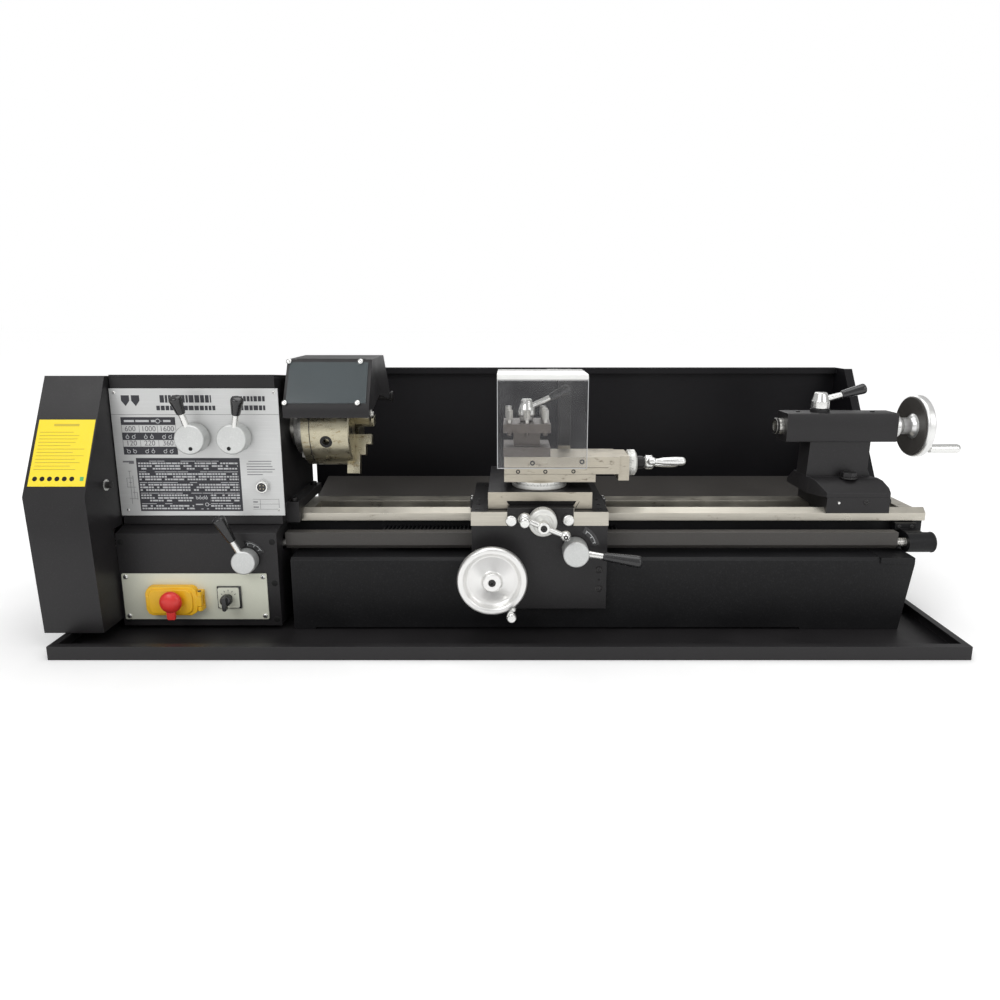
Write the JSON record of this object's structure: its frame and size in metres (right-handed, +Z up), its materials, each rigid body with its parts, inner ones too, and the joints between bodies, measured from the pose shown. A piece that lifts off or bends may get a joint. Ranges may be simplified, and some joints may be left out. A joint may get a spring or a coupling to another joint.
{
  "type": "bench metal lathe",
  "caption": "Bench lathe for turning metal: geared headstock with a jaw chuck, bed with carriage, compound slide and tool post, tailstock, chip tray and splash guard.",
  "frame": {"origin": "centre of the chip tray's underside", "axes": "+X along the bed from the headstock to the tailstock, +Y away from the operator, +Z up"},
  "size_m": [1.394, 0.48, 0.4125],
  "materials": {
    "black_powder_coat": "satin black powder coat",
    "grey_powder_coat": "satin grey powder coat",
    "plate_paint": "printed matt aluminium",
    "ground_steel": "ground",
    "turned_steel": "turned",
    "polished_aluminium": "polished",
    "dark_iron": "blackened",
    "black_plastic": "moulded",
    "yellow_plastic": "moulded",
    "red_plastic": "moulded",
    "belt_rubber": "moulded",
    "clear_sheet": "clear polycarbonate",
    "smoked_sheet": "smoked polycarbonate"
  },
  "bodies": {
    "machine": {"chip_tray": "black_powder_coat", "bed": "black_powder_coat", "splash_guard": "black_powder_coat", "chip_deflector": "grey_powder_coat", "headstock_casting": "black_powder_coat", "headstock_top_cover": "black_powder_coat", "control_panel": "plate_paint", "control_box": "black_powder_coat", "switch_plate": "plate_paint", "motor_plate": "grey_powder_coat", "motor_housing": "grey_powder_coat", "spindle_bearing_rear": "turned_steel", "spindle_bearing_front": "turned_steel", "drive_belt": "belt_rubber", "lead_screw_guard": "grey_powder_coat", "lead_screw_bracket": "dark_iron", "feed_rack": "turned_steel", "stop_switch_base": "yellow_plastic"},
    "gear_cover": {"gear_cover": "black_powder_coat"},
    "spindle": {"spindle": "turned_steel", "spindle_gear": "turned_steel", "change_gear_driver": "turned_steel", "chuck_backplate": "turned_steel", "chuck_body": "turned_steel"},
    "jaw_1": {"chuck_jaw_1": "turned_steel"},
    "jaw_2": {"chuck_jaw_2": "turned_steel"},
    "jaw_3": {"chuck_jaw_3": "turned_steel"},
    "input_shaft": {"input_shaft": "turned_steel"},
    "motor_pulley": {"motor_pulley": "dark_iron"},
    "idler_gear": {"change_gear_idler": "turned_steel"},
    "lead_screw": {"lead_screw": "turned_steel"},
    "chuck_guard": {"chuck_guard": "black_powder_coat", "guard_window": "smoked_sheet"},
    "speed_lever_left": {"speed_lever_left": "polished_aluminium"},
    "speed_lever_right": {"speed_lever_right": "polished_aluminium"},
    "feed_lever": {"feed_lever": "polished_aluminium"},
    "stop_lid": {"stop_switch_lid": "yellow_plastic"},
    "stop_button": {"stop_button": "red_plastic"},
    "rotary_knob": {"rotary_knob": "black_plastic"},
    "carriage": {"saddle": "ground_steel", "apron": "black_powder_coat"},
    "apron_handwheel": {"apron_handwheel": "polished_aluminium"},
    "apron_wheel_handle": {"apron_wheel_handle": "polished_aluminium"},
    "rack_pinion": {"rack_pinion": "turned_steel"},
    "half_nut_lever": {"half_nut_lever": "polished_aluminium"},
    "half_nut": {"half_nut": "turned_steel"},
    "cross_slide": {"cross_slide": "ground_steel"},
    "cross_feed_screw": {"cross_feed_screw": "ground_steel"},
    "compound_base": {"compound_base": "ground_steel"},
    "top_slide": {"top_slide": "ground_steel"},
    "compound_screw": {"compound_screw": "ground_steel"},
    "tool_post": {"tool_post": "dark_iron"},
    "tool_post_lever": {"tool_post_lever": "polished_aluminium"},
    "tool_shield": {"tool_shield": "clear_sheet"},
    "tailstock": {"tailstock_base": "black_powder_coat", "tailstock_body": "black_powder_coat"},
    "quill": {"quill": "ground_steel"},
    "tailstock_handwheel": {"tailstock_handwheel": "polished_aluminium"},
    "tailstock_wheel_handle": {"tailstock_wheel_handle": "polished_aluminium"},
    "quill_lock": {"quill_lock": "polished_aluminium"}
  },
  "joints": [
    {"name": "gear_cover_hinge", "type": "hinge", "parent": "machine", "child": "gear_cover", "pos_m": [-0.5954, 0.154, 0.2], "axis": [0, 0, -1], "range_deg": [0, 100]},
    {"name": "spindle_turn", "type": "hinge", "parent": "machine", "child": "spindle", "pos_m": [-0.4, -0.025, 0.301], "axis": [1, 0, 0], "continuous": true},
    {"name": "jaw_1_slide", "type": "slide", "parent": "spindle", "child": "jaw_1", "axis": [0, -0.2588, -0.9659], "range_m": [-0.008, 0.006]},
    {"name": "jaw_2_slide", "type": "slide", "parent": "spindle", "child": "jaw_2", "axis": [0, -0.7071, 0.7071], "range_m": [-0.008, 0.006]},
    {"name": "jaw_3_slide", "type": "slide", "parent": "spindle", "child": "jaw_3", "axis": [0, 0.9659, 0.2588], "range_m": [-0.008, 0.006]},
    {"name": "input_shaft_turn", "type": "hinge", "parent": "machine", "child": "input_shaft", "pos_m": [-0.5, 0.018, 0.247], "axis": [1, 0, 0], "continuous": true},
    {"name": "motor_pulley_turn", "type": "hinge", "parent": "machine", "child": "motor_pulley", "pos_m": [-0.6, 0.112, 0.12], "axis": [1, 0, 0], "continuous": true},
    {"name": "idler_turn", "type": "hinge", "parent": "machine", "child": "idler_gear", "pos_m": [-0.636, -0.031, 0.1991], "axis": [1, 0, 0], "continuous": true},
    {"name": "lead_screw_turn", "type": "hinge", "parent": "machine", "child": "lead_screw", "pos_m": [0, -0.107, 0.131], "axis": [1, 0, 0], "continuous": true},
    {"name": "chuck_guard_hinge", "type": "hinge", "parent": "machine", "child": "chuck_guard", "pos_m": [-0.27, 0.069, 0.339], "axis": [-1, 0, 0], "range_deg": [0, 85]},
    {"name": "speed_lever_left_turn", "type": "hinge", "parent": "machine", "child": "speed_lever_left", "pos_m": [-0.466, -0.12, 0.299], "axis": [0, 1, 0], "range_deg": [-12, 24]},
    {"name": "speed_lever_right_turn", "type": "hinge", "parent": "machine", "child": "speed_lever_right", "pos_m": [-0.4045, -0.12, 0.299], "axis": [0, 1, 0], "range_deg": [-32, 8]},
    {"name": "feed_lever_turn", "type": "hinge", "parent": "machine", "child": "feed_lever", "pos_m": [-0.394, -0.145, 0.117], "axis": [0, 1, 0], "range_deg": [0, 42]},
    {"name": "stop_lid_hinge", "type": "hinge", "parent": "machine", "child": "stop_lid", "pos_m": [-0.466, -0.1566, 0.0545], "axis": [0, 0, 1], "range_deg": [0, 110]},
    {"name": "stop_button_press", "type": "slide", "parent": "stop_lid", "child": "stop_button", "axis": [0, 1, 0], "range_m": [0, 0.003], "stiffness_N_per_m": 1500, "springref_m": -0.0005},
    {"name": "rotary_knob_turn", "type": "hinge", "parent": "machine", "child": "rotary_knob", "pos_m": [-0.425, -0.15, 0.057], "axis": [0, 1, 0], "range_deg": [-60, 60]},
    {"name": "carriage_slide", "type": "slide", "parent": "machine", "child": "carriage", "axis": [1, 0, 0], "range_m": [-0.18, 0.14]},
    {"name": "apron_handwheel_turn", "type": "hinge", "parent": "carriage", "child": "apron_handwheel", "pos_m": [-0.025, -0.18, 0.101], "axis": [0, -1, 0], "range_deg": [-1475, 1148]},
    {"name": "apron_wheel_handle_spin", "type": "hinge", "parent": "apron_handwheel", "child": "apron_wheel_handle", "pos_m": [0.003, -0.22, 0.057], "axis": [0, 1, 0], "continuous": true},
    {"name": "rack_pinion_turn", "type": "hinge", "parent": "carriage", "child": "rack_pinion", "pos_m": [-0.0147, -0.1, 0.154], "axis": [0, 1, 0], "range_deg": [-1475, 1150]},
    {"name": "half_nut_lever_turn", "type": "hinge", "parent": "carriage", "child": "half_nut_lever", "pos_m": [0.0965, -0.16, 0.137], "axis": [0, -1, 0], "range_deg": [0, 40]},
    {"name": "half_nut_slide", "type": "slide", "parent": "carriage", "child": "half_nut", "axis": [0, -1, 0], "range_m": [0, 0.003]},
    {"name": "cross_slide_feed", "type": "slide", "parent": "carriage", "child": "cross_slide", "axis": [0, 1, 0], "range_m": [0, 0.075]},
    {"name": "cross_feed_screw_turn", "type": "hinge", "parent": "carriage", "child": "cross_feed_screw", "pos_m": [0.0483, -0.17, 0.183], "axis": [0, 1, 0], "range_deg": [0, 13505]},
    {"name": "compound_swivel", "type": "hinge", "parent": "cross_slide", "child": "compound_base", "pos_m": [0.046, -0.09, 0.225], "axis": [0, 0, 1], "range_deg": [-45, 45]},
    {"name": "top_slide_feed", "type": "slide", "parent": "compound_base", "child": "top_slide", "axis": [-1, 0, 0], "range_m": [-0.02, 0.034]},
    {"name": "compound_screw_turn", "type": "hinge", "parent": "top_slide", "child": "compound_screw", "pos_m": [0.18, -0.09, 0.254], "axis": [-1, 0, 0], "range_deg": [-3605, 6125]},
    {"name": "tool_post_turn", "type": "hinge", "parent": "top_slide", "child": "tool_post", "pos_m": [0.026, -0.09, 0.29], "axis": [0, 0, 1], "continuous": true},
    {"name": "tool_post_lever_turn", "type": "hinge", "parent": "top_slide", "child": "tool_post_lever", "pos_m": [0.026, -0.09, 0.33], "axis": [0, 0, 1], "range_deg": [-30, 90]},
    {"name": "tool_shield_hinge", "type": "hinge", "parent": "top_slide", "child": "tool_shield", "pos_m": [0.07, -0.03, 0.388], "axis": [-1, 0, 0], "range_deg": [0, 100]},
    {"name": "tailstock_slide", "type": "slide", "parent": "machine", "child": "tailstock", "axis": [1, 0, 0], "range_m": [-0.15, 0.04]},
    {"name": "quill_feed", "type": "slide", "parent": "tailstock", "child": "quill", "axis": [-1, 0, 0], "range_m": [0, 0.06]},
    {"name": "tailstock_handwheel_turn", "type": "hinge", "parent": "tailstock", "child": "tailstock_handwheel", "pos_m": [0.64, -0.025, 0.301], "axis": [-1, 0, 0], "range_deg": [0, 10805]},
    {"name": "tailstock_wheel_handle_spin", "type": "hinge", "parent": "tailstock_handwheel", "child": "tailstock_wheel_handle", "pos_m": [0.69, -0.049, 0.268], "axis": [1, 0, 0], "continuous": true},
    {"name": "quill_lock_turn", "type": "hinge", "parent": "tailstock", "child": "quill_lock", "pos_m": [0.5, -0.025, 0.34], "axis": [0, 0, 1], "range_deg": [-50, 60]}
  ],
  "couplings": [
    {"joint": "jaw_2_slide", "follows": "jaw_1_slide", "ratio": 1},
    {"joint": "jaw_3_slide", "follows": "jaw_1_slide", "ratio": 1},
    {"joint": "input_shaft_turn", "follows": "spindle_turn", "ratio": -2.2857},
    {"joint": "motor_pulley_turn", "follows": "spindle_turn", "ratio": -4},
    {"joint": "idler_turn", "follows": "spindle_turn", "ratio": -0.41667},
    {"joint": "lead_screw_turn", "follows": "spindle_turn", "ratio": 1},
    {"joint": "apron_handwheel_turn", "follows": "carriage_slide", "rad_per_m": 142.86},
    {"joint": "rack_pinion_turn", "follows": "carriage_slide", "rad_per_m": 142.86},
    {"joint": "half_nut_slide", "follows": "half_nut_lever_turn", "m_per_rad": 0.0042},
    {"joint": "cross_feed_screw_turn", "follows": "cross_slide_feed", "rad_per_m": 3141.6},
    {"joint": "compound_screw_turn", "follows": "top_slide_feed", "rad_per_m": 3141.6},
    {"joint": "tailstock_handwheel_turn", "follows": "quill_feed", "rad_per_m": 3141.6}
  ]
}
